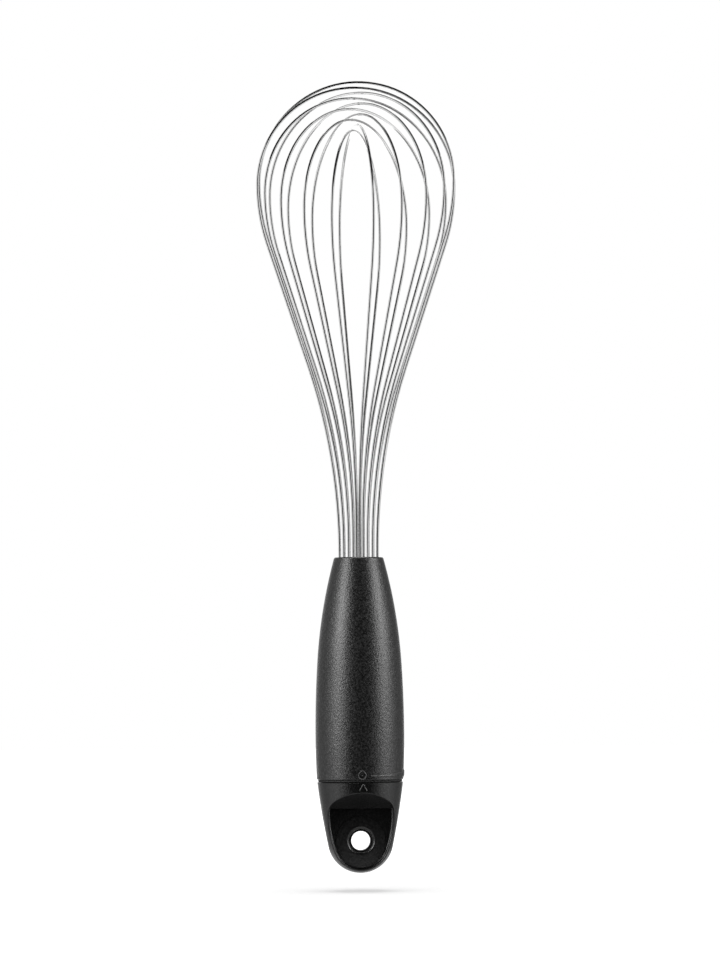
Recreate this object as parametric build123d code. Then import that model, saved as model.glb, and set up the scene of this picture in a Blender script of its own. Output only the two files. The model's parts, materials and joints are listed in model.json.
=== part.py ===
from build123d import *
import os
from math import asin, atan2, cos, degrees, radians, sin, tan

os.makedirs("parts", exist_ok=True)

# A balloon whisk that folds flat, in millimetres, standing on its end cap with +Z towards the wires.
# The grip holds ten nested wire loops. Each loop ends in its own small hub, and the hubs are
# stacked on a keyed spindle. Turning the end cap turns the spindle, whose key runs in an arc
# notch in each hub: the notch takes up the lost motion, so every hub turns by its own share and
# the fan of loops closes to a flat pack. The innermost loop of one side is fixed to the grip, and
# the innermost loop of the other side is fixed to the spindle.

# Gaps and overruns
SEAT_GAP = 0.05
RUN_GAP = 0.04
FACE_GAP = 0.1
FIT_GAP = 0.02
OVERRUN = 2.0
LEAD_IN = 0.3

# Wire loops
LOOP_COUNT = 10
WIRE_RADIUS = 0.5
LAYER_GAP = 0.1
NECK_RADIUS = 7.0
FLARE_LIFT = 2.0
FLARE_STEP = 2.5
FLARE_RADIUS = 228.4
SLOPE_ANGLE = 18.35
SLOPE_STEP = 1.2
SHOULDER_RADIUS = 68.5
SHOULDER_STEP = 4.0
BALLOON_RADIUS = 36.45
BALLOON_STEP = 0.08
APEX_PITCH = 2.01
FAN_PITCH = 17.25
FAN_TURN = -5.1
FOLD_PITCH = 4.5

# Hubs that carry the loops' feet
HUB_HEIGHT = 2.0
FOOT_SHARE = 0.7
SPINDLE_TOP_RADIUS = 1.0
KEY_REACH = 0.5
KEY_WIDTH = 0.8
NOTCH_GAP = 0.1

# End cap: a ball-shaped end that runs on into a long, gently curved cone
CAP_HEIGHT = 33.4
CAP_BALL_RADIUS = 12.0
CAP_TOP_RADIUS = 15.7
CAP_LEAN = 12.0
CAP_WALL = 2.5
INSERT_DEPTH = 2.9
EDGE_CHAMFER = 0.35

# Scoops at the front and back of the end cap: round below, bulging sides and an arched crown
WEB_THICKNESS = 6.0
SCOOP_RIM = 1.55
SCOOP_FOOT_RADIUS = 9.9
SCOOP_SPREAD = 1.9
SCOOP_WIDE_Z = 22.0
SCOOP_CORNER_RADIUS = 5.0
SCOOP_CROWN_RADIUS = 17.0
SCOOP_CROWN_DROP = 4.0
SCOOP_FACET_DROP = 9.8
SCOOP_FACET_ANGLE = 29.0
SCOOP_RIM_ROUND = 0.4
SCOOP_FLOOR_ROUND = 0.6

# Hanging hole in the web between the scoops: a narrow land with a wide, rounded mouth each side
HOLE_RADIUS = 3.5
HOLE_LAND = 3.0
HOLE_MOUTH_RADIUS = 4.3
HOLE_ROUND = 1.05
HOLE_Z = 11.8
PAD_MARGIN = 1.0
PAD_HEIGHT = 0.5

# Grip shell
SEAM_GAP = 0.7
GRIP_LENGTH = 81.3
GRIP_STEP = 0.15
BELLY_SWELL = 0.4
BELLY_HEIGHT = 16.7
WAIST_DRAW = 0.8
GRIP_WAIST_HEIGHT = 42.7
MOUTH_RADIUS = 9.1
NECK_LENGTH = 10.6
NECK_CLEARANCE = 0.4
GRIP_WALL = 3.3

# Ring in the mouth of the grip
MOUTH_RING_WALL = 0.6
MOUTH_RING_HEIGHT = 2.4
MOUTH_RING_DROP = 0.35
MOUTH_RING_CLEARANCE = 0.25

# Loop carrier inside the grip, with the bridge bar across it
CARRIER_CLEARANCE = 0.7
CARRIER_WALL = 1.2
BAR_WIDTH = 1.6
BAR_HEIGHT = 3.4
CARRIER_KEY_WIDTH = 2.4
CARRIER_KEY_REACH = 0.8

# Bearing plate under the hubs and the snap ring that holds it
HUB_WASHER_THICKNESS = 0.8
PLATE_THICKNESS = 3.7
SNAP_RING_THICKNESS = 1.0
SNAP_RING_GROOVE = 0.8
SNAP_RING_WIDTH = 1.9
SNAP_RING_ARC = 325.0

# Spindle, cap insert and the lower bush that they turn in
SPINDLE_RADIUS = 2.5
COLLAR_RADIUS = 6.0
COLLAR_HEIGHT = 9.4
BUSH_GAP = 1.3
BUSH_HEIGHT = 9.6
BUSH_FLANGE_HEIGHT = 1.6
BUSH_FLANGE_REACH = 0.5
DRIVE_PIN_RADIUS = 0.8
DRIVE_PIN_RISE = 3.4
SEAL_RADIUS = 0.55
SEAL_RISE = 6.9
THRUST_WASHER_EDGE = 0.3

# Stop pin and its arc groove
STOP_PIN_RADIUS = 1.0
STOP_EDGE = 2.6
STOP_GROOVE_DEPTH = 1.5
STOP_PIN_SINK = 5.0
STOP_ANGLE = 153.0
STOP_GAP = 0.1

# Screws that hold the insert in the end cap
SCREW_EDGE = 3.2
SCREW_RADIUS = 1.2
SCREW_HEAD_RADIUS = 2.3
SCREW_HEAD_HEIGHT = 1.1
SCREW_LENGTH = 10.0
SCREW_DRIVE_RADIUS = 0.9
SCREW_DRIVE_DEPTH = 0.6

# Heights worked out from the sizes above
LAYER_PITCH = 2 * WIRE_RADIUS + LAYER_GAP
GRIP_BOTTOM_Z = CAP_HEIGHT + SEAM_GAP
MOUTH_Z = GRIP_BOTTOM_Z + GRIP_LENGTH
NECK_BOTTOM_Z = MOUTH_Z - NECK_LENGTH
BAR_TOP_Z = NECK_BOTTOM_Z - SEAT_GAP
BAR_BOTTOM_Z = BAR_TOP_Z - BAR_HEIGHT
BOSS_TOP_Z = BAR_TOP_Z + HUB_HEIGHT
HEAD_BOTTOM_Z = BOSS_TOP_Z + FACE_GAP
STACKED_HUBS = LOOP_COUNT - 2
HUB_STEP = HUB_HEIGHT + FACE_GAP
STACK_BOTTOM_Z = BAR_BOTTOM_Z - STACKED_HUBS * HUB_STEP
PLATE_TOP_Z = STACK_BOTTOM_Z - HUB_WASHER_THICKNESS - FACE_GAP - SEAT_GAP
PLATE_BOTTOM_Z = PLATE_TOP_Z - PLATE_THICKNESS
BUSH_BOTTOM_Z = CAP_HEIGHT + BUSH_GAP
SCOOP_TOP_Z = CAP_HEIGHT - SCOOP_CROWN_DROP
SCOOP_FACET_Z = CAP_HEIGHT - SCOOP_FACET_DROP

# Radii worked out from the sizes above
NECK_BORE_RADIUS = NECK_RADIUS + WIRE_RADIUS + NECK_CLEARANCE
CARRIER_BORE_RADIUS = NECK_RADIUS + WIRE_RADIUS + CARRIER_CLEARANCE
CARRIER_RADIUS = CARRIER_BORE_RADIUS + CARRIER_WALL
SPINDLE_BORE_RADIUS = SPINDLE_TOP_RADIUS + RUN_GAP
KEY_RADIUS = SPINDLE_TOP_RADIUS + KEY_REACH
NOTCH_RADIUS = KEY_RADIUS + NOTCH_GAP
FOOT_BEND = WIRE_RADIUS + LAYER_GAP
INSERT_RADIUS = CAP_TOP_RADIUS - CAP_WALL
INSERT_BOTTOM_Z = CAP_HEIGHT - INSERT_DEPTH
STOP_CIRCLE_RADIUS = INSERT_RADIUS - STOP_EDGE
SCREW_CIRCLE_RADIUS = INSERT_RADIUS - SCREW_EDGE
GRIP_BOTTOM_RADIUS = CAP_TOP_RADIUS + GRIP_STEP
BELLY_RADIUS = GRIP_BOTTOM_RADIUS + BELLY_SWELL
GRIP_WAIST_RADIUS = BELLY_RADIUS - WAIST_DRAW
GRIP_BORE_RADIUS = GRIP_BOTTOM_RADIUS - GRIP_WALL
SCOOP_HALF_WIDTH = SCOOP_FOOT_RADIUS + SCOOP_SPREAD
PAD_RADIUS = SCOOP_FOOT_RADIUS - PAD_MARGIN


def pair(loop):
    """Which pair a loop belongs to, counted from the outermost: one loop opens to each side."""
    return loop // 2


def neck_radius(loop):
    """Radius at which a loop's two legs run down the neck."""
    return NECK_RADIUS - pair(loop) * LAYER_PITCH


def hub_radius(loop):
    """Radius of a loop's hub, which the legs of the other loop of its pair pass."""
    return neck_radius(loop) - FOOT_BEND


def loop_side(loop):
    """Side of the fan that a loop opens to."""
    return 1 if loop % 2 else -1


def open_angle(loop):
    """Angle of a loop's plane about the axis with the whisk open."""
    return loop_side(loop) * FAN_PITCH * (pair(loop) + 1 / 2) + FAN_TURN


def fold_half_angle(loop):
    """Half the angle between the two loops of a pair in the folded whisk."""
    closest = degrees(asin(LAYER_PITCH / 2 / NECK_RADIUS))
    return closest + pair(loop) * FOLD_PITCH


FIXED_LOOP = LOOP_COUNT - 1
DRIVEN_LOOP = LOOP_COUNT - 2
FOLD_ANGLE = open_angle(FIXED_LOOP) - fold_half_angle(FIXED_LOOP)


def fold_turn(loop):
    """Angle that a loop turns from open to folded."""
    return FOLD_ANGLE + loop_side(loop) * fold_half_angle(loop) - open_angle(loop)


KNOB_TURN = fold_turn(DRIVEN_LOOP)

# The bridge bar lies halfway between the places where the innermost legs that pass it stop
BAR_ANGLE = (open_angle(FIXED_LOOP - 2) + fold_turn(FIXED_LOOP - 2) + open_angle(DRIVEN_LOOP - 2) + 180) / 2


def hub_bottom(loop):
    """Height of the underside of a loop's hub."""
    if loop == FIXED_LOOP:
        return BAR_TOP_Z
    if loop == DRIVEN_LOOP:
        return HEAD_BOTTOM_Z
    return BAR_BOTTOM_Z - (STACKED_HUBS - loop) * HUB_STEP


def foot_length(loop):
    """Length of a loop's foot inside its hub."""
    inner = SPINDLE_BORE_RADIUS if loop in (FIXED_LOOP, DRIVEN_LOOP) else NOTCH_RADIUS
    return FOOT_SHARE * (hub_radius(loop) - inner)


def ring(outer, inner, bottom, top):
    """A flat ring about the axis."""
    height = top - bottom
    base = Pos(0, 0, bottom + height / 2)
    return base * (Cylinder(outer, height) - Cylinder(inner, height + OVERRUN))


def disc(radius, bottom, top):
    """A round disc about the axis."""
    height = top - bottom
    return Pos(0, 0, bottom + height / 2) * Cylinder(radius, height)


def turned(points):
    """A solid turned about the axis from an outline of radius and height points."""
    face = make_face(Plane.XZ * Polyline(*points, close=True))
    return revolve(face, Axis.Z)


def sector(outer, inner, bottom, top, start, arc):
    """A part of a ring, from one angle through an arc."""
    outline = [(inner, bottom), (outer, bottom), (outer, top), (inner, top)]
    face = make_face(Plane.XZ * Polyline(*outline, close=True))
    return Rot(0, 0, start) * revolve(face, Axis.Z, revolution_arc=arc)


def radial_rod(radius, inner, outer, height, angle):
    """A round rod that points away from the axis."""
    rod = extrude(Plane.YZ * Circle(radius), outer - inner)
    return Rot(0, 0, angle) * Pos(inner, 0, height) * rod


def save(node, shape):
    """Write one node's solids."""
    export_step(shape, os.path.join("parts", node + ".step"))


def slope(loop):
    """Angle by which the straight part of a loop leans out, in radians."""
    return radians(SLOPE_ANGLE + pair(loop) * SLOPE_STEP)


def shoulder_radius(loop):
    """Radius of the arc between a loop's straight part and its dome."""
    return SHOULDER_RADIUS - pair(loop) * SHOULDER_STEP


def balloon_radius(loop):
    """Radius of a loop's dome, which is also half its width."""
    return BALLOON_RADIUS - pair(loop) ** 2 * BALLOON_STEP


def flare_z(loop):
    """Height at which a loop's legs start to flare out."""
    return MOUTH_Z + FLARE_LIFT + pair(loop) * FLARE_STEP


def dome_z(loop):
    """Height of the middle of a loop's dome: the outermost loop sets it, and the rest follow."""
    radii = FLARE_RADIUS + SHOULDER_RADIUS
    run = BALLOON_RADIUS - NECK_RADIUS - radii * (1 - cos(slope(0)))
    top = flare_z(0) + radii * sin(slope(0)) + run / tan(slope(0)) + BALLOON_RADIUS
    return top - loop * APEX_PITCH - balloon_radius(loop)


def shoulder_start(loop):
    """Point where a loop's straight part runs into its shoulder."""
    shoulder = shoulder_radius(loop)
    out = balloon_radius(loop) - shoulder * (1 - cos(slope(loop)))
    return (out, dome_z(loop) - shoulder * sin(slope(loop)))


def flare_radius(loop):
    """Radius of the flare that leads a loop's leg into its straight part."""
    out, up = shoulder_start(loop)
    short = tan(slope(loop)) * (up - flare_z(loop)) - (out - neck_radius(loop))
    return short / (1 / cos(slope(loop)) - 1)


def loop_path(loop):
    """Centre line of a loop: foot, leg, flare, slope, shoulder and dome, then the same mirrored."""
    neck = neck_radius(loop)
    hub = hub_radius(loop)
    foot_z = hub_bottom(loop) + HUB_HEIGHT / 2
    flare = flare_radius(loop)
    lean = degrees(slope(loop))
    width = balloon_radius(loop)
    shoulder = shoulder_radius(loop)

    inner_end = (hub - foot_length(loop), foot_z)
    flare_end = (neck + flare * (1 - cos(slope(loop))), flare_z(loop) + flare * sin(slope(loop)))
    half = [
        Line(inner_end, (hub, foot_z)),
        CenterArc((hub, foot_z + FOOT_BEND), FOOT_BEND, -90, 90),
        Line((neck, foot_z + FOOT_BEND), (neck, flare_z(loop))),
        CenterArc((neck + flare, flare_z(loop)), flare, 180, -lean),
        Line(flare_end, shoulder_start(loop)),
        CenterArc((width - shoulder, dome_z(loop)), shoulder, -lean, lean),
        CenterArc((0, dome_z(loop)), width, 0, 90),
    ]
    other_half = [mirror(edge, Plane.YZ) for edge in reversed(half)]
    return Plane.XZ * Wire([piece.edge() for piece in half + other_half])


def wire_loop(loop):
    """One sprung steel wire, bent into a loop."""
    path = loop_path(loop)
    section = Plane(origin=path @ 0, z_dir=path % 0) * Circle(WIRE_RADIUS)
    return Rot(0, 0, open_angle(loop)) * sweep(section, path=path)


def foot_sockets(loop):
    """The two blind holes in a hub that a loop's feet are pressed into."""
    foot_z = hub_bottom(loop) + HUB_HEIGHT / 2
    inner = hub_radius(loop) - foot_length(loop) - FIT_GAP
    outer = hub_radius(loop) + OVERRUN
    angles = (open_angle(loop), open_angle(loop) + 180)
    return [radial_rod(WIRE_RADIUS + FIT_GAP, inner, outer, foot_z, angle) for angle in angles]


def loop_hub(loop):
    """A hub that turns on the spindle, with the arc notch that gives the lost motion."""
    bottom = hub_bottom(loop)
    top = bottom + HUB_HEIGHT
    margin = degrees(asin((KEY_WIDTH / 2 + RUN_GAP) / SPINDLE_TOP_RADIUS))
    slack = KNOB_TURN - fold_turn(loop)
    hub = ring(hub_radius(loop), SPINDLE_BORE_RADIUS, bottom, top)
    hub -= sector(NOTCH_RADIUS, 0, bottom - OVERRUN, top + OVERRUN, -margin, slack + 2 * margin)
    for socket in foot_sockets(loop):
        hub -= socket
    return hub


def spindle_head():
    """The hub pressed on the top of the spindle, which carries the driven loop."""
    bottom = hub_bottom(DRIVEN_LOOP)
    head = disc(hub_radius(DRIVEN_LOOP), bottom, bottom + HUB_HEIGHT)
    head -= disc(SPINDLE_TOP_RADIUS + FIT_GAP, bottom - OVERRUN, spindle_top() + SEAT_GAP)
    for socket in foot_sockets(DRIVEN_LOOP):
        head -= socket
    return head


def spindle_top():
    """Height of the spindle's upper end, inside its head."""
    return HEAD_BOTTOM_Z + HUB_HEIGHT * FOOT_SHARE


def spindle():
    """The steel spindle: a thick lower shaft, a thin upper shaft and the key along the hubs."""
    shoulder_z = PLATE_BOTTOM_Z - FACE_GAP
    shaft = disc(SPINDLE_RADIUS, INSERT_BOTTOM_Z + SEAT_GAP, shoulder_z)
    shaft = chamfer(shaft.edges().group_by(Axis.Z)[0], LEAD_IN)
    shaft += disc(SPINDLE_TOP_RADIUS, shoulder_z, spindle_top())
    key_bottom = STACK_BOTTOM_Z + FACE_GAP
    key_top = BAR_BOTTOM_Z - FACE_GAP
    key = Box(KEY_RADIUS, KEY_WIDTH, key_top - key_bottom)
    shaft += Pos(KEY_RADIUS / 2, 0, (key_top + key_bottom) / 2) * key
    return shaft - drive_pin_hole()


def drive_pin_hole():
    """The cross hole for the drive pin, through the insert's collar and the spindle."""
    height = CAP_HEIGHT + DRIVE_PIN_RISE
    hole = Cylinder(DRIVE_PIN_RADIUS + FIT_GAP, 2 * COLLAR_RADIUS + OVERRUN)
    return Pos(0, 0, height) * Rot(0, 90, 0) * hole


def drive_pin():
    """The pin that makes the spindle turn with the end cap."""
    length = 2 * (COLLAR_RADIUS - RUN_GAP - LEAD_IN)
    pin = Cylinder(DRIVE_PIN_RADIUS, length)
    return Pos(0, 0, CAP_HEIGHT + DRIVE_PIN_RISE) * Rot(0, 90, 0) * pin


def carrier():
    """The tube that is keyed into the grip, with the bridge bar and the fixed loop's boss."""
    bottom = PLATE_TOP_Z + SEAT_GAP
    tube = ring(CARRIER_RADIUS, CARRIER_BORE_RADIUS, bottom, BAR_TOP_Z)
    bar_length = 2 * (CARRIER_RADIUS - CARRIER_WALL / 2)
    bar = Pos(0, 0, (BAR_TOP_Z + BAR_BOTTOM_Z) / 2) * Box(bar_length, BAR_WIDTH, BAR_HEIGHT)
    key_length = CARRIER_KEY_REACH + CARRIER_WALL / 2
    key = Box(key_length, CARRIER_KEY_WIDTH, BAR_TOP_Z - bottom)
    key_x = CARRIER_RADIUS + CARRIER_KEY_REACH - key_length / 2
    tube += Rot(0, 0, BAR_ANGLE) * bar
    tube += Rot(0, 0, BAR_ANGLE) * Pos(key_x, 0, (BAR_TOP_Z + bottom) / 2) * key
    tube += disc(hub_radius(FIXED_LOOP), BAR_BOTTOM_Z, BOSS_TOP_Z)
    tube -= disc(SPINDLE_BORE_RADIUS, BAR_BOTTOM_Z - OVERRUN, BOSS_TOP_Z + OVERRUN)
    for socket in foot_sockets(FIXED_LOOP):
        tube -= socket
    return tube


def carrier_keyway():
    """The keyway in the grip shell that stops the carrier turning."""
    reach = CARRIER_KEY_REACH + SEAT_GAP
    width = CARRIER_KEY_WIDTH + 2 * SEAT_GAP
    height = NECK_BOTTOM_Z - PLATE_TOP_Z
    slot = Box(CARRIER_RADIUS + reach, width, height)
    slot_x = (CARRIER_RADIUS + reach) / 2
    return Rot(0, 0, BAR_ANGLE) * Pos(slot_x, 0, PLATE_TOP_Z + height / 2) * slot


def grip_shell():
    """The moulded grip: a belly that narrows in two long arcs to the mouth, bored from below."""
    belly = (BELLY_RADIUS, GRIP_BOTTOM_Z + BELLY_HEIGHT)
    waist = (GRIP_WAIST_RADIUS, GRIP_BOTTOM_Z + GRIP_WAIST_HEIGHT)
    rim_z = GRIP_BOTTOM_Z + EDGE_CHAMFER
    lower = TangentArc(belly, (GRIP_BOTTOM_RADIUS, rim_z), tangent=(0, -1))
    middle = TangentArc(belly, waist, tangent=(0, 1))
    mouth = (MOUTH_RADIUS, MOUTH_Z - EDGE_CHAMFER)
    upper = TangentArc(waist, mouth, tangent=middle % 1)
    rest = Polyline(
        mouth,
        (MOUTH_RADIUS - EDGE_CHAMFER, MOUTH_Z),
        (0, MOUTH_Z),
        (0, GRIP_BOTTOM_Z),
        (GRIP_BOTTOM_RADIUS - EDGE_CHAMFER, GRIP_BOTTOM_Z),
        (GRIP_BOTTOM_RADIUS, rim_z),
    )
    outline = Plane.XZ * make_face([lower.edge(), middle.edge(), upper.edge()] + list(rest.edges()))
    shell = revolve(outline, Axis.Z)
    shell -= disc(NECK_BORE_RADIUS, NECK_BOTTOM_Z - OVERRUN, MOUTH_Z + OVERRUN)
    shell -= disc(mouth_seat_radius(), mouth_seat_z(), MOUTH_Z + OVERRUN)
    shell -= disc(CARRIER_RADIUS + SEAT_GAP, PLATE_TOP_Z - OVERRUN, NECK_BOTTOM_Z)
    shell -= carrier_keyway()
    shell -= disc(GRIP_BORE_RADIUS, GRIP_BOTTOM_Z - OVERRUN, PLATE_TOP_Z + SEAT_GAP)
    flange_radius = GRIP_BORE_RADIUS + BUSH_FLANGE_REACH
    shell -= disc(flange_radius, GRIP_BOTTOM_Z - OVERRUN, bush_flange_top() + SEAT_GAP)
    groove_top = PLATE_BOTTOM_Z
    groove_bottom = groove_top - SNAP_RING_THICKNESS - 2 * SEAT_GAP
    shell -= disc(GRIP_BORE_RADIUS + SNAP_RING_GROOVE, groove_bottom, groove_top)
    return shell


def mouth_seat_radius():
    """Radius of the recess that holds the mouth ring."""
    return NECK_RADIUS + WIRE_RADIUS + MOUTH_RING_CLEARANCE + MOUTH_RING_WALL + FIT_GAP


def mouth_seat_z():
    """Height of the floor of the mouth ring's recess."""
    return MOUTH_Z - MOUTH_RING_DROP - MOUTH_RING_HEIGHT - FIT_GAP


def mouth_ring():
    """The dark ring in the mouth of the grip, with a chamfered upper inner edge."""
    inner = NECK_RADIUS + WIRE_RADIUS + MOUTH_RING_CLEARANCE
    outer = inner + MOUTH_RING_WALL
    top = MOUTH_Z - MOUTH_RING_DROP
    bottom = top - MOUTH_RING_HEIGHT
    outline = [
        (inner, bottom),
        (outer, bottom),
        (outer, top),
        (inner + LEAD_IN, top),
        (inner, top - LEAD_IN),
    ]
    return turned(outline)


def bearing_plate():
    """The plate that closes the carrier from below and guides the spindle."""
    plate = ring(GRIP_BORE_RADIUS - SEAT_GAP, SPINDLE_BORE_RADIUS, PLATE_BOTTOM_Z, PLATE_TOP_Z)
    return plate


def snap_ring():
    """The open ring in the grip's groove that holds the bearing plate up."""
    outer = GRIP_BORE_RADIUS + SNAP_RING_GROOVE - SEAT_GAP
    top = PLATE_BOTTOM_Z - SEAT_GAP
    bottom = top - SNAP_RING_THICKNESS
    start = BAR_ANGLE + (360 - SNAP_RING_ARC) / 2
    return sector(outer, outer - SNAP_RING_WIDTH, bottom, top, start, SNAP_RING_ARC)


def bush_flange_top():
    """Height of the top of the lower bush's flange."""
    return BUSH_BOTTOM_Z + BUSH_FLANGE_HEIGHT


def lower_bush():
    """The bearing at the lower end of the grip, which also carries the stop pin."""
    bore = COLLAR_RADIUS + RUN_GAP
    bush = ring(GRIP_BORE_RADIUS - SEAT_GAP, bore, BUSH_BOTTOM_Z, BUSH_BOTTOM_Z + BUSH_HEIGHT)
    flange = GRIP_BORE_RADIUS + BUSH_FLANGE_REACH - SEAT_GAP
    bush += ring(flange, bore, BUSH_BOTTOM_Z, bush_flange_top())
    pin_hole = Cylinder(STOP_PIN_RADIUS + FIT_GAP, STOP_PIN_SINK + OVERRUN)
    return bush - stop_pin_place() * Pos(0, 0, stop_hole_mid()) * pin_hole


def stop_hole_mid():
    """Height of the middle of the stop pin's hole, which runs out at the underside."""
    return BUSH_BOTTOM_Z + (STOP_PIN_SINK - OVERRUN) / 2


def stop_pin_place():
    """Place of the stop pin on its circle."""
    return Rot(0, 0, STOP_ANGLE) * Pos(STOP_CIRCLE_RADIUS, 0, 0)


def stop_pin():
    """The pin that the ends of the arc groove meet when the whisk is open and when it is folded."""
    bottom = CAP_HEIGHT - STOP_GROOVE_DEPTH + FACE_GAP
    top = BUSH_BOTTOM_Z + STOP_PIN_SINK - SEAT_GAP
    height = top - bottom
    return stop_pin_place() * Pos(0, 0, bottom + height / 2) * Cylinder(STOP_PIN_RADIUS, height)


def screw_places():
    """Places of the two screws, to the left and right where the end cap is solid."""
    return [Pos(side * SCREW_CIRCLE_RADIUS, 0, 0) for side in (-1, 1)]


def screw_shape(gap):
    """A countersunk screw, or its hole with a gap all round."""
    top = CAP_HEIGHT
    neck_z = top - SCREW_HEAD_HEIGHT
    outline = [
        (0, top),
        (SCREW_HEAD_RADIUS + gap, top),
        (SCREW_RADIUS + gap, neck_z),
        (SCREW_RADIUS + gap, top - SCREW_LENGTH - gap),
        (0, top - SCREW_LENGTH - gap),
    ]
    return turned(outline)


def cap_screws():
    """The two screws, each with a drive recess in its head."""
    recess_floor = Plane.XY.offset(CAP_HEIGHT - SCREW_DRIVE_DEPTH)
    recess = extrude(recess_floor * RegularPolygon(SCREW_DRIVE_RADIUS, 6), OVERRUN)
    screw = screw_shape(0) - recess
    return Compound([place * screw for place in screw_places()])


def cap_insert():
    """The disc that closes the end cap, with the collar that turns in the lower bush."""
    collar_top = CAP_HEIGHT + COLLAR_HEIGHT
    insert = disc(INSERT_RADIUS - SEAT_GAP, INSERT_BOTTOM_Z + SEAT_GAP, CAP_HEIGHT)
    insert += disc(COLLAR_RADIUS, CAP_HEIGHT, collar_top)
    insert -= disc(SPINDLE_RADIUS + FIT_GAP, INSERT_BOTTOM_Z - OVERRUN, collar_top + OVERRUN)
    insert -= drive_pin_hole()
    insert -= seal_groove()
    insert -= stop_groove()
    for place in screw_places():
        insert -= place * screw_shape(FIT_GAP)
    return insert


def stop_groove():
    """The arc groove for the stop pin: its two ends are the limits of the turn."""
    depth_z = CAP_HEIGHT - STOP_GROOVE_DEPTH
    half_width = STOP_PIN_RADIUS + STOP_GAP
    outer = STOP_CIRCLE_RADIUS + half_width
    inner = STOP_CIRCLE_RADIUS - half_width
    start = STOP_ANGLE - KNOB_TURN
    groove = sector(outer, inner, depth_z, CAP_HEIGHT + OVERRUN, start, KNOB_TURN)
    end = Pos(STOP_CIRCLE_RADIUS, 0, depth_z) * extrude(Circle(half_width), STOP_GROOVE_DEPTH + OVERRUN)
    return groove + Rot(0, 0, start) * end + Rot(0, 0, STOP_ANGLE) * end


def seal_groove():
    """The groove round the collar that the friction ring lies in."""
    height = CAP_HEIGHT + SEAL_RISE
    half = SEAL_RADIUS + FIT_GAP
    inner = COLLAR_RADIUS - 2 * SEAL_RADIUS
    return ring(COLLAR_RADIUS + OVERRUN, inner, height - half, height + half)


def friction_ring():
    """The rubber ring between collar and bush, which holds the loops where they are turned to."""
    torus = Torus(COLLAR_RADIUS - SEAL_RADIUS + FIT_GAP, SEAL_RADIUS)
    return Pos(0, 0, CAP_HEIGHT + SEAL_RISE) * torus


def thrust_washer():
    """The washer between the cap insert and the lower bush."""
    inner = COLLAR_RADIUS + RUN_GAP
    outer = STOP_CIRCLE_RADIUS - STOP_PIN_RADIUS - STOP_GAP - THRUST_WASHER_EDGE
    return ring(outer, inner, CAP_HEIGHT + SEAT_GAP, BUSH_BOTTOM_Z - SEAT_GAP)


def hub_washer():
    """The washer under the stack of hubs."""
    outer = hub_radius(0)
    bottom = PLATE_TOP_Z + SEAT_GAP
    return ring(outer, SPINDLE_BORE_RADIUS, bottom, bottom + HUB_WASHER_THICKNESS)


def scoop_outline():
    """The scoop's outline seen from the front: a round foot, two long side arcs and a crown."""
    foot_z = SCOOP_RIM + SCOOP_FOOT_RADIUS
    rise = SCOOP_WIDE_Z - foot_z
    side_radius = (rise ** 2 / SCOOP_SPREAD + SCOOP_FOOT_RADIUS + SCOOP_HALF_WIDTH) / 2
    offset = side_radius - SCOOP_HALF_WIDTH
    low = degrees(atan2(rise, offset))
    high = degrees(asin((CAP_HEIGHT - SCOOP_WIDE_Z) / side_radius))
    foot = CenterArc((0, foot_z), SCOOP_FOOT_RADIUS, low - 180, 180 - 2 * low)
    right = CenterArc((-offset, SCOOP_WIDE_Z), side_radius, -low, low + high)
    left = CenterArc((offset, SCOOP_WIDE_Z), side_radius, 180 - high, low + high)
    face = make_face([foot.edge(), right.edge(), Line(right @ 1, left @ 0).edge(), left.edge()])
    width = 2 * SCOOP_CROWN_RADIUS
    crown = Circle(SCOOP_CROWN_RADIUS) + Pos(0, -SCOOP_CROWN_RADIUS) * Rectangle(width, width)
    face &= Pos(0, SCOOP_TOP_Z - SCOOP_CROWN_RADIUS) * crown
    return fillet(face.vertices().sort_by(Axis.Y)[-2:], SCOOP_CORNER_RADIUS)


def scoop():
    """The hollow in the front of the end cap, down to the web, with a slanted upper face."""
    floor = WEB_THICKNESS / 2
    reach = CAP_TOP_RADIUS + OVERRUN
    facet_top = SCOOP_FACET_Z + tan(radians(SCOOP_FACET_ANGLE)) * (reach - floor)
    hollow = extrude(Plane.XZ.offset(floor) * scoop_outline(), reach)
    hollow = fillet(hollow.faces().sort_by(Axis.Y)[-1].edges(), SCOOP_FLOOR_ROUND)
    side_view = [
        (-floor, -OVERRUN),
        (-floor, SCOOP_FACET_Z),
        (-reach, facet_top),
        (-reach, -OVERRUN),
    ]
    wedge = extrude(make_face(Plane.YZ * Polyline(*side_view, close=True)), CAP_TOP_RADIUS, both=True)
    return hollow & wedge


def cap_body():
    """The outer form of the end cap, turned: a ball end and a long arc up to the rim."""
    lean = radians(CAP_LEAN)
    rim_z = CAP_HEIGHT - EDGE_CHAMFER
    ball = CenterArc((0, CAP_BALL_RADIUS), CAP_BALL_RADIUS, -90, 90 - CAP_LEAN)
    cone = TangentArc(ball @ 1, (CAP_TOP_RADIUS, rim_z), tangent=(sin(lean), cos(lean)))
    rest = Polyline(
        (CAP_TOP_RADIUS, rim_z),
        (CAP_TOP_RADIUS - EDGE_CHAMFER, CAP_HEIGHT),
        (0, CAP_HEIGHT),
        (0, 0),
    )
    return revolve(Plane.XZ * make_face([ball.edge(), cone.edge()] + list(rest.edges())), Axis.Z)


def hanging_hole():
    """The cut for the hanging hole, with the wide mouth on each side of its land."""
    mouth = web_cylinder(HOLE_MOUTH_RADIUS, WEB_THICKNESS + OVERRUN)
    return web_cylinder(HOLE_RADIUS, WEB_THICKNESS + OVERRUN) + (mouth - web_cylinder(HOLE_MOUTH_RADIUS, HOLE_LAND))


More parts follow.
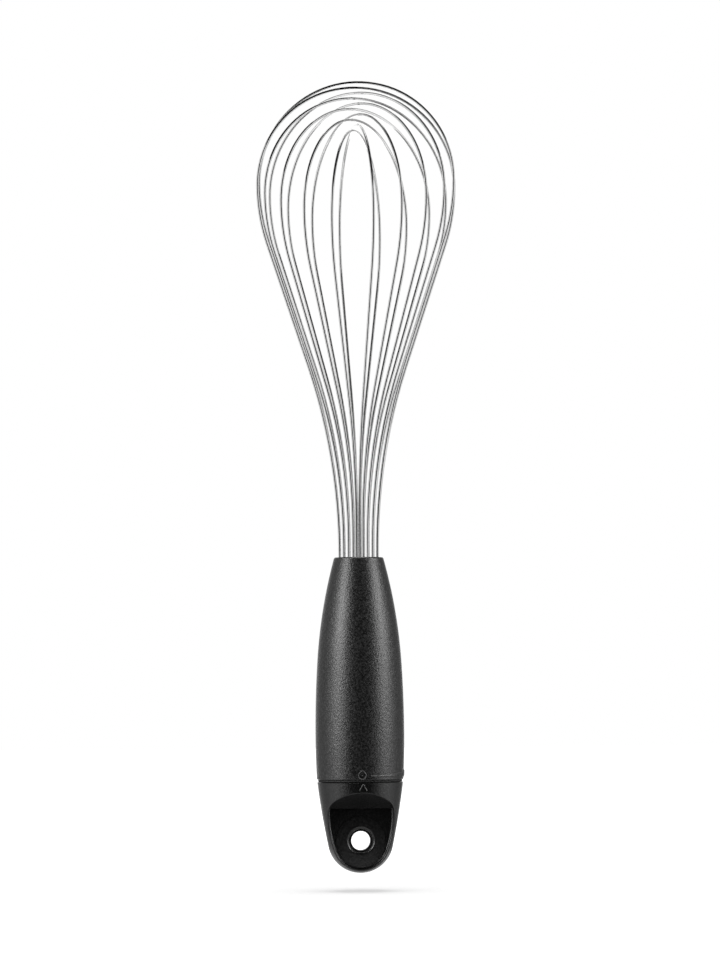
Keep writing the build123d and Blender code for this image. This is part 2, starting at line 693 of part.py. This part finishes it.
def end_cap():
    """The turning end cap: its body, two scoops and the hanging hole through the web."""
    body = cap_body()
    hollows = [scoop(), mirror(scoop(), Plane.XZ)]
    cap = body - hollows
    rims = new_edges(body, *hollows, combined=cap)
    cap = fillet(rims, SCOOP_RIM_ROUND)
    cap += web_cylinder(PAD_RADIUS, WEB_THICKNESS + 2 * PAD_HEIGHT)
    cap -= hanging_hole()
    mouths = [edge for edge in cap.edges().filter_by(GeomType.CIRCLE) if is_hole_mouth(edge)]
    cap = fillet(mouths, HOLE_ROUND)
    cap -= disc(INSERT_RADIUS, INSERT_BOTTOM_Z, CAP_HEIGHT + OVERRUN)
    for place in screw_places():
        cap -= place * screw_shape(FIT_GAP)
    return cap


def web_cylinder(radius, length):
    """A cylinder through the web, on the axis of the hanging hole."""
    return Pos(0, 0, HOLE_Z) * Rot(90, 0, 0) * Cylinder(radius, length)


def is_hole_mouth(edge):
    """Whether a round edge is one of the two outer mouths of the hanging hole."""
    outermost = WEB_THICKNESS / 2 + PAD_HEIGHT
    return abs(edge.radius - HOLE_MOUTH_RADIUS) < FIT_GAP and abs(abs(edge.center().Y) - outermost) < FIT_GAP


save("grip_shell", grip_shell())
save("mouth_ring", mouth_ring())
save("loop_carrier", carrier())
save("bearing_plate", bearing_plate())
save("snap_ring", snap_ring())
save("lower_bush", lower_bush())
save("stop_pin", stop_pin())
save("hub_washer", hub_washer())
save("end_cap", end_cap())
save("cap_insert", cap_insert())
save("cap_screws", cap_screws())
save("spindle", spindle())
save("spindle_head", spindle_head())
save("drive_pin", drive_pin())
save("friction_ring", friction_ring())
save("thrust_washer", thrust_washer())
for number in range(LOOP_COUNT):
    save(f"wire_loop_{number + 1}", wire_loop(number))
for number in range(STACKED_HUBS):
    save(f"loop_hub_{number + 1}", loop_hub(number))
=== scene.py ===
import json
import math

import bpy
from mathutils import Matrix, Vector
from mathutils.bvhtree import BVHTree


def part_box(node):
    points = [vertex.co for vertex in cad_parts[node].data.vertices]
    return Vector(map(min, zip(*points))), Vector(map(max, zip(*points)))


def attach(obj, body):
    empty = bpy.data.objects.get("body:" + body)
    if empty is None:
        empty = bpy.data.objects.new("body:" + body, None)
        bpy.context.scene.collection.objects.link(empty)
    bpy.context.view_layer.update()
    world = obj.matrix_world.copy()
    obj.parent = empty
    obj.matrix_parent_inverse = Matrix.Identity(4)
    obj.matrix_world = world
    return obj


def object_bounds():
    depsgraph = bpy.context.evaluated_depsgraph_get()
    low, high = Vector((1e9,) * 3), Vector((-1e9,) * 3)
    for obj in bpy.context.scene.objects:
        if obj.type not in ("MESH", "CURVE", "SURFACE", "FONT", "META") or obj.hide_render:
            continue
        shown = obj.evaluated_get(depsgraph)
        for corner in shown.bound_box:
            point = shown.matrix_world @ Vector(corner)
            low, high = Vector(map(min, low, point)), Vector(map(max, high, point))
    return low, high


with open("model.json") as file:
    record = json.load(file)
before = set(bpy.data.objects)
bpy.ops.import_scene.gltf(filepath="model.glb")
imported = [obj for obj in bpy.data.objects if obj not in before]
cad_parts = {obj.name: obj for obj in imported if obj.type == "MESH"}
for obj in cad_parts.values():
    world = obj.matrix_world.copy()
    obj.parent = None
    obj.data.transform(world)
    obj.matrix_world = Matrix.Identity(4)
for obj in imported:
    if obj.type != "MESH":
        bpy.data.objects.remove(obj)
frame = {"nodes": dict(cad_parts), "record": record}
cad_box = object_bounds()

# A balloon whisk that folds flat. Lengths are in metres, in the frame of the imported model:
# +Z runs along the handle towards the wires, and -Y is the front. Angles are in degrees,
# and an azimuth runs round the handle from the front towards the right.
FULL_TURN = 360
FULL_LIGHT = 1.0

# The photograph's frame, in pixels, and the camera: a pixel's size at the whisk, the whisk's axis in
# the frame, and the camera's place and tilt, with the roll in radians
PHOTO_WIDTH = 720
PHOTO_HEIGHT = 960
SENSOR_LENGTH = 36.0
PIXEL = 0.0003669
AXIS_COLUMN = 359.4
CAMERA_DISTANCE = 1.65
CAMERA_HEIGHT = 0.0743
CAMERA_AZIMUTH = -3.0
CAMERA_PITCH = 2.414
CAMERA_ROLL = 0.007
CLIP_RATIO = 100

# Floor: its place, its own grey, and how brightly the camera sees it near the whisk and far off
FLOOR_DROP = 0.0067
FLOOR_HALF = 3.0
FLOOR_COLOUR = 0.5
FLOOR_GLOW_NEAR = 0.57
FLOOR_GLOW_FAR = FULL_LIGHT
FLOOR_FADE_START = 0.1
FLOOR_FADE_END = 0.6

# Light of the surroundings, and lamps that face a share of the whisk's height. Each lamp has
# azimuth, distance from the axis, height, width, length, radiance
WORLD_LIGHT = 0.3
LAMP_AIM_SHARE = 0.5
SIDE_LAMPS = {
    "left_lamp": (-62, 1.3, 0.38, 0.5, 1.1, 12.0),
    "right_lamp": (68, 1.3, 0.38, 0.5, 1.1, 10.0),
}
TOP_LAMP = (0, 0.05, 1.9, 0.8, 0.8, 13.0)

# Sections of the curtains, as distance from the axis and height, then each curtain's
# first and last azimuth, glow and section
CURTAIN_WALL = ((0.04, 0.0), (1.8, 0.2), (1.8, 1.4))
CURTAIN_CEILING = ((1.8, 1.4), (0.02, 2.8))
CURTAIN_STEP = 5
CURTAINS = {
    "front_curtain": (-45, 45, 0.0, CURTAIN_WALL),
    "left_curtain": (-100, -45, 0.90, CURTAIN_WALL),
    "left_back_curtain": (-155, -100, 0.42, CURTAIN_WALL),
    "right_curtain": (45, 100, 0.90, CURTAIN_WALL),
    "right_back_curtain": (100, 155, 0.30, CURTAIN_WALL),
    "ceiling_curtain": (-155, 155, 0.02, CURTAIN_CEILING),
}

# Ring in the seam, near-black: painted shade of the gap between the grip and the cap
SEAM_RING_INSET = 0.0003
SEAM_RING_WIDTH = 0.004
SEAM_RING_CLEARANCE = 0.0001
SEAM_RING_CORNER_SHARE = 0.25
SEAM_RING_STEPS = 96

# Turning marks: raised lines, a ring with a pointed top round a dot, an arrow head, and a wedge that
# grows round the grip's end
MARK_WIDTH = 0.00036
MARK_ROUNDNESS = 2
MARK_STEPS = 6
DROP_RADIUS = 0.0014
DROP_Z = 0.0359
DROP_PEAK = 0.0003
DROP_SHARPNESS = 6
DROP_STEPS = 32
DOT_LENGTH = 0.0005
CHEVRON_ACROSS = 0.0003
CHEVRON_Z = 0.0328
CHEVRON_HEIGHT = 0.0025
CHEVRON_HALF = 0.0014
WEDGE_Z = 0.0352
WEDGE_START = 11
WEDGE_END = 101
WEDGE_LEAST = 0.0006
WEDGE_MOST = 0.0030
WEDGE_EASE = 0.0003
WEDGE_LIFT = 0.0003
WEDGE_SIDE_SHARE = 0.6
WEDGE_STEPS = 24
WEDGE_LINE_STEP = 3
WEDGE_GROWTH = 2

# Finishes of the plastics: darkest and lightest grey, least and most roughness, grains per metre
PLASTICS = {
    "grip": (0.002, 0.020, 0.24, 0.45, 1300),
    "cap": (0.001, 0.005, 0.24, 0.37, 1300),
    "inner_plastic": (0.05, 0.09, 0.45, 0.60, 2500),
    # dark_ring is near-black: painted shade for the gap in the seam
    "dark_ring": (0.001, 0.003, 0.60, 0.70, 2500),
    # mark is a lighter grey than the grip and cap: painted highlight on the raised marks
    "mark": (0.04, 0.06, 0.40, 0.50, 2500),
    "rubber": (0.015, 0.03, 0.60, 0.75, 2500),
}
GRAIN_DEPTH = 0.00013
GRAIN_DETAIL = 3.0
GRAIN_ROUGHNESS = 0.7
GRAIN_LOW = 0.42
GRAIN_HIGH = 0.66

# Finishes of the metals: grey, least and most roughness, patches per metre
METALS = {
    "wire": (0.95, 0.05, 0.10, 900),
    "hub_steel": (0.55, 0.25, 0.35, 1500),
    "steel": (0.55, 0.25, 0.35, 1500),
    "spring_steel": (0.30, 0.30, 0.40, 1500),
}
POLISH_SHADE = 0.9
POLISH_LOW = 0.3
POLISH_HIGH = 0.7
POLISH_DETAIL = 4.0
POLISH_ROUGHNESS = 0.6


def new_material(name):
    """A node material with an empty tree apart from its shader and output."""
    material = bpy.data.materials.new(name)
    material.use_nodes = True
    return material


def shader_of(material):
    """The main shader node of a material."""
    return material.node_tree.nodes["Principled BSDF"]


def add_node(material, kind, **values):
    """A new node with its properties set."""
    node = material.node_tree.nodes.new(kind)
    for name, value in values.items():
        setattr(node, name, value)
    return node


def link(material, source, target):
    """Joins an output socket to an input socket."""
    material.node_tree.links.new(source, target)


def noise(material, scale, detail, roughness):
    """A noise texture in object space."""
    place = add_node(material, "ShaderNodeTexCoord")
    texture = add_node(material, "ShaderNodeTexNoise")
    texture.inputs["Scale"].default_value = scale
    texture.inputs["Detail"].default_value = detail
    texture.inputs["Roughness"].default_value = roughness
    link(material, place.outputs["Object"], texture.inputs["Vector"])
    return texture.outputs["Fac"]


def shade(material, source, low, high, dark, light):
    """Runs from a dark grey to a light one as a texture rises from low to high."""
    node = add_node(material, "ShaderNodeValToRGB")
    for element, position, grey in zip(node.color_ramp.elements, (low, high), (dark, light)):
        element.position = position
        element.color = (grey, grey, grey, 1)
    link(material, source, node.inputs["Fac"])
    return node.outputs["Color"]


def spread(material, source, low, high):
    """Maps a texture's 0 to 1 onto a range."""
    node = add_node(material, "ShaderNodeMapRange")
    node.inputs["To Min"].default_value = low
    node.inputs["To Max"].default_value = high
    link(material, source, node.inputs["Value"])
    return node.outputs["Result"]


def bump(material, source, depth):
    """A bump from a texture's height."""
    node = add_node(material, "ShaderNodeBump")
    node.inputs["Distance"].default_value = depth
    link(material, source, node.inputs["Height"])
    link(material, node.outputs["Normal"], shader_of(material).inputs["Normal"])


def glow_white(material, grey):
    """Makes a material a matt grey that can glow white, and returns its shader."""
    shader = shader_of(material)
    shader.inputs["Base Color"].default_value = (grey, grey, grey, 1)
    shader.inputs["Specular IOR Level"].default_value = 0.0
    shader.inputs["Emission Color"].default_value = (1, 1, 1, 1)
    return shader


def plastic(name, dark, light, smooth, rough, grain):
    """Black plastic with a fine sparked grain: speckled colour, uneven gloss and a small bump."""
    material = new_material(name)
    shader = shader_of(material)
    speck = noise(material, grain, GRAIN_DETAIL, GRAIN_ROUGHNESS)
    tone = shade(material, speck, GRAIN_LOW, GRAIN_HIGH, dark, light)
    link(material, tone, shader.inputs["Base Color"])
    link(material, spread(material, speck, smooth, rough), shader.inputs["Roughness"])
    bump(material, speck, GRAIN_DEPTH)
    return material


def metal(name, grey, smooth, rough, patches):
    """Steel with faint uneven polish."""
    material = new_material(name)
    shader = shader_of(material)
    shader.inputs["Metallic"].default_value = 1.0
    cloud = noise(material, patches, POLISH_DETAIL, POLISH_ROUGHNESS)
    tone = shade(material, cloud, POLISH_LOW, POLISH_HIGH, POLISH_SHADE * grey, grey)
    link(material, tone, shader.inputs["Base Color"])
    link(material, spread(material, cloud, smooth, rough), shader.inputs["Roughness"])
    return material


# Finishes, and the CAD nodes in them
finishes = {slot: plastic(slot + "_finish", *values) for slot, values in PLASTICS.items()}
finishes.update({slot: metal(slot + "_finish", *values) for slot, values in METALS.items()})
for row in frame["record"]["subparts"]:
    mesh = frame["nodes"][row["node"]].data
    mesh.materials.clear()
    mesh.materials.append(finishes[row["material_slot"]])


def show(thing):
    """Puts an object in the scene."""
    bpy.context.scene.collection.objects.link(thing)
    return thing


def around(azimuth, distance, height):
    """A place round the whisk: azimuth 0 is in front, towards the camera."""
    turn = math.radians(azimuth)
    return Vector((math.sin(turn) * distance, -math.cos(turn) * distance, height))


def piece(name, data, body, slot, finish=None):
    """A piece that rides on a body, in the finish named by slot, or by finish when that is given."""
    thing = show(bpy.data.objects.new(name, data))
    data.materials.append(finishes[finish or slot])
    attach(thing, body)


def skin_of(node):
    """A search tree over a CAD node's surface, in the row frame."""
    thing = frame["nodes"][node]
    corners = [thing.matrix_world @ corner.co for corner in thing.data.vertices]
    return BVHTree.FromPolygons(corners, [tuple(face.vertices) for face in thing.data.polygons])


def on_skin(skin, azimuth, height):
    """Where a level line from outside, towards the axis, meets the surface."""
    reach = cad_box[1].x
    start = around(azimuth, reach, height)
    return skin.ray_cast(start, Vector((0, 0, height)) - start)[0]


def between(here, there, size):
    """Faces that join one closed section of points to the next, from their first points on."""
    faces = []
    for place in range(size):
        beyond = (place + 1) % size
        faces.append((here + place, there + place, there + beyond, here + beyond))
    return faces


# Seam: a thin ring that closes the view between the grip and the cap, near-black as painted shade of
# the gap
def seam_ring():
    """Revolves a small rounded section between the cap's rim and the grip's end."""
    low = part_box("end_cap")[1].z
    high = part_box("grip_shell")[0].z
    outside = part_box("end_cap")[1].x - SEAM_RING_INSET
    inside = outside - SEAM_RING_WIDTH
    bottom = low + SEAM_RING_CLEARANCE
    top = high - SEAM_RING_CLEARANCE
    corner = (top - bottom) * SEAM_RING_CORNER_SHARE
    section = [
        (inside, bottom), (outside - corner, bottom), (outside, bottom + corner),
        (outside, top - corner), (outside - corner, top), (inside, top),
    ]
    corners = []
    faces = []
    size = len(section)
    for step in range(SEAM_RING_STEPS):
        azimuth = step * FULL_TURN / SEAM_RING_STEPS
        corners += [around(azimuth, radius, height) for radius, height in section]
        here = step * size
        there = (step + 1) % SEAM_RING_STEPS * size
        faces += between(here, there, size)
    mesh = bpy.data.meshes.new("seam_ring")
    mesh.from_pydata(corners, [], faces)
    # Its near-black finish paints the shade inside the seam's gap
    piece("seam_ring", mesh, "grip", "dark_ring")


seam_ring()


# Turning marks: thin moulded lines and a growing wedge
# The raised lines are a lighter grey than the plastic round them: painted highlight on their crests
def raised_line(name, node, body, slot, points, closed=False):
    """A thin raised line on a surface, through points of distance across the front and height."""
    skin = skin_of(node)
    curve = bpy.data.curves.new(name, "CURVE")
    curve.dimensions = "3D"
    curve.bevel_depth = MARK_WIDTH / 2
    curve.bevel_resolution = MARK_ROUNDNESS
    curve.use_fill_caps = True
    spline = curve.splines.new("POLY")
    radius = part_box(node)[1].x
    spline.points.add(len(points) - 1)
    for target, (across, height) in zip(spline.points, points):
        place = on_skin(skin, math.degrees(across / radius), height)
        target.co = (*place, 1)
    spline.use_cyclic_u = closed
    # The lighter grey mark finish paints the highlight along the raised line
    piece(name, curve, body, slot, "mark")


def run(start, end):
    """Points along a straight run."""
    share = [step / MARK_STEPS for step in range(MARK_STEPS + 1)]
    return [tuple(a + (b - a) * t for a, b in zip(start, end)) for t in share]


def drop_ring():
    """Points of a ring with a pointed top."""
    points = []
    for step in range(DROP_STEPS):
        turn = math.tau * step / DROP_STEPS
        peak = DROP_PEAK * max(0.0, math.cos(turn)) ** DROP_SHARPNESS
        points.append((DROP_RADIUS * math.sin(turn), DROP_Z + DROP_RADIUS * math.cos(turn) + peak))
    return points


raised_line("drop_mark", "grip_shell", "grip", "grip", drop_ring(), closed=True)
dot = run((-DOT_LENGTH / 2, DROP_Z), (DOT_LENGTH / 2, DROP_Z))
raised_line("drop_dot", "grip_shell", "grip", "grip", dot)
for side, sign in (("left", -1), ("right", 1)):
    foot = (CHEVRON_ACROSS + sign * CHEVRON_HALF, CHEVRON_Z - CHEVRON_HEIGHT)
    raised_line("arrow_" + side, "end_cap", "knob", "cap", run((CHEVRON_ACROSS, CHEVRON_Z), foot))


def wedge_height(azimuth):
    """How tall the wedge is at a place round the grip."""
    share = (azimuth - WEDGE_START) / (WEDGE_END - WEDGE_START)
    return WEDGE_LEAST + (WEDGE_MOST - WEDGE_LEAST) * share ** WEDGE_GROWTH


def wedge_mark():
    """A low raised wedge round the grip's end, taller towards its back end."""
    skin = skin_of("grip_shell")
    corners = []
    faces = []
    for step in range(WEDGE_STEPS + 1):
        azimuth = WEDGE_START + (WEDGE_END - WEDGE_START) * step / WEDGE_STEPS
        tall = wedge_height(azimuth)
        section = [
            (0, -1), (0, WEDGE_SIDE_SHARE), (WEDGE_EASE, 1),
            (tall - WEDGE_EASE, 1), (tall, WEDGE_SIDE_SHARE), (tall, -1),
        ]
        for height, lift in section:
            place = on_skin(skin, azimuth, WEDGE_Z + height)
            corners.append(place + around(azimuth, WEDGE_LIFT * lift, 0))
    rows = len(corners) // (WEDGE_STEPS + 1)
    for step in range(WEDGE_STEPS):
        faces += between(step * rows, (step + 1) * rows, rows)
    faces.append(tuple(range(rows)))
    faces.append(tuple(WEDGE_STEPS * rows + row for row in reversed(range(rows))))
    mesh = bpy.data.meshes.new("wedge_mark")
    mesh.from_pydata(corners, [], faces)
    piece("wedge_mark", mesh, "grip", "grip")


wedge_mark()
grip_end_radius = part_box("grip_shell")[1].x
# A raised line along the wedge's top edge, in the lighter mark finish: painted highlight of that lit
# edge
crest = []
for azimuth in range(WEDGE_START, WEDGE_END, WEDGE_LINE_STEP):
    crest.append((grip_end_radius * math.radians(azimuth), WEDGE_Z + wedge_height(azimuth)))
raised_line("wedge_crest_highlight", "grip_shell", "grip", "grip", crest)


# Floor: white under the lamps, and darker only in the whisk's own shadow
def flat_square(name, half):
    """A square face about the origin."""
    mesh = bpy.data.meshes.new(name)
    corners = [(-half, -half, 0), (half, -half, 0), (half, half, 0), (-half, half, 0)]
    mesh.from_pydata(corners, [], [(0, 1, 2, 3)])
    return bpy.data.objects.new(name, mesh)


def in_view(material):
    """1 for a ray of the camera, a reflection or glass, and 0 for light that falls on things."""
    path = add_node(material, "ShaderNodeLightPath")
    seen = path.outputs["Is Camera Ray"]
    for kind in ("Is Glossy Ray", "Is Transmission Ray"):
        either = add_node(material, "ShaderNodeMath", operation="MAXIMUM")
        link(material, seen, either.inputs[0])
        link(material, path.outputs[kind], either.inputs[1])
        seen = either.outputs["Value"]
    return seen


floor = show(flat_square("floor", FLOOR_HALF))
floor.location.z = -FLOOR_DROP
floor_paint = new_material("floor_paint")
floor_shader = glow_white(floor_paint, FLOOR_COLOUR)
floor_shader.inputs["Roughness"].default_value = 1.0
floor_place = add_node(floor_paint, "ShaderNodeTexCoord")
floor_reach = add_node(floor_paint, "ShaderNodeVectorMath", operation="LENGTH")
floor_fade = add_node(floor_paint, "ShaderNodeMapRange")
floor_fade.inputs["From Min"].default_value = FLOOR_FADE_START
floor_fade.inputs["From Max"].default_value = FLOOR_FADE_END
floor_fade.inputs["To Min"].default_value = FLOOR_GLOW_NEAR
floor_fade.inputs["To Max"].default_value = FLOOR_GLOW_FAR
floor_glow = add_node(floor_paint, "ShaderNodeMath", operation="MULTIPLY")
link(floor_paint, floor_place.outputs["Object"], floor_reach.inputs["Vector"])
link(floor_paint, floor_reach.outputs["Value"], floor_fade.inputs["Value"])
link(floor_paint, floor_fade.outputs["Result"], floor_glow.inputs[0])
link(floor_paint, in_view(floor_paint), floor_glow.inputs[1])
link(floor_paint, floor_glow.outputs["Value"], floor_shader.inputs["Emission Strength"])
floor.data.materials.append(floor_paint)

# World: white where the camera, a reflection or glass sees it, and dimmer as light
world = bpy.data.worlds.new("studio")
bpy.context.scene.world = world
world.use_nodes = True
background = world.node_tree.nodes["Background"]
background.inputs["Color"].default_value = (1, 1, 1, 1)
world_strength = spread(world, in_view(world), WORLD_LIGHT, FULL_LIGHT)
link(world, world_strength, background.inputs["Strength"])


def left_out(name, things):
    """A collection of things that a lamp doesn't light."""
    group = bpy.data.collections.new(name)
    for thing in things:
        group.objects.link(thing)
    for entry in group.collection_objects:
        entry.light_linking.link_state = "EXCLUDE"
    return group


# The thin polished wires show the soft curtains and the white backdrop, not the lamps' own bright
# faces, and only the top lamp throws a shadow on the floor
wires = [node for name, node in frame["nodes"].items() if name.startswith("wire_loop")]
unlit_by_top = left_out("unlit_by_top", wires)
unlit_by_sides = left_out("unlit_by_sides", wires + [floor])


def lamp(name, unlit, azimuth, distance, height, width, length, radiance):
    """A soft lamp that faces the whisk."""
    data = bpy.data.lights.new(name, "AREA")
    data.shape = "RECTANGLE"
    data.size = width
    data.size_y = length
    data.energy = radiance * math.pi * width * length
    thing = show(bpy.data.objects.new(name, data))
    thing.location = around(azimuth, distance, height)
    aim = Vector((0, 0, cad_box[1].z * LAMP_AIM_SHARE)) - thing.location
    thing.rotation_mode = "QUATERNION"
    thing.rotation_quaternion = aim.to_track_quat("-Z", "Y")
    thing.light_linking.receiver_collection = unlit


for lamp_name, values in SIDE_LAMPS.items():
    lamp(lamp_name, unlit_by_sides, *values)
lamp("top_lamp", unlit_by_top, *TOP_LAMP)


def curtain(name, start, end, glow, section):
    """A curved studio curtain that only reflections see."""
    mesh = bpy.data.meshes.new(name)
    corners = []
    faces = []
    rows = len(section)
    for azimuth in range(start, end + 1, CURTAIN_STEP):
        corners += [around(azimuth, distance, height) for distance, height in section]
    for column in range(len(corners) // rows - 1):
        for row in range(rows - 1):
            low = column * rows + row
            faces.append((low, low + 1, low + 1 + rows, low + rows))
    mesh.from_pydata(corners, [], faces)
    cloth = new_material(name)
    glow_white(cloth, 0).inputs["Emission Strength"].default_value = glow
    mesh.materials.append(cloth)
    thing = show(bpy.data.objects.new(name, mesh))
    thing.visible_camera = False
    thing.visible_diffuse = False
    thing.visible_transmission = False
    thing.visible_volume_scatter = False
    thing.visible_shadow = False


for curtain_name, values in CURTAINS.items():
    curtain(curtain_name, *values)

# Camera
camera_data = bpy.data.cameras.new("camera")
camera = show(bpy.data.objects.new("camera", camera_data))
camera_data.sensor_width = SENSOR_LENGTH
camera_data.lens = SENSOR_LENGTH * CAMERA_DISTANCE / (PHOTO_HEIGHT * PIXEL)
camera_data.shift_x = (PHOTO_WIDTH / 2 - AXIS_COLUMN) / PHOTO_HEIGHT
camera_data.clip_start = CAMERA_DISTANCE / CLIP_RATIO
camera_data.clip_end = CAMERA_DISTANCE * CLIP_RATIO
camera.location = around(CAMERA_AZIMUTH, CAMERA_DISTANCE, CAMERA_HEIGHT)
camera_tilt = math.pi / 2 + math.radians(CAMERA_PITCH)
camera.rotation_euler = (camera_tilt, CAMERA_ROLL, math.radians(CAMERA_AZIMUTH))
bpy.context.scene.camera = camera
bpy.context.scene.view_settings.view_transform = "Standard"
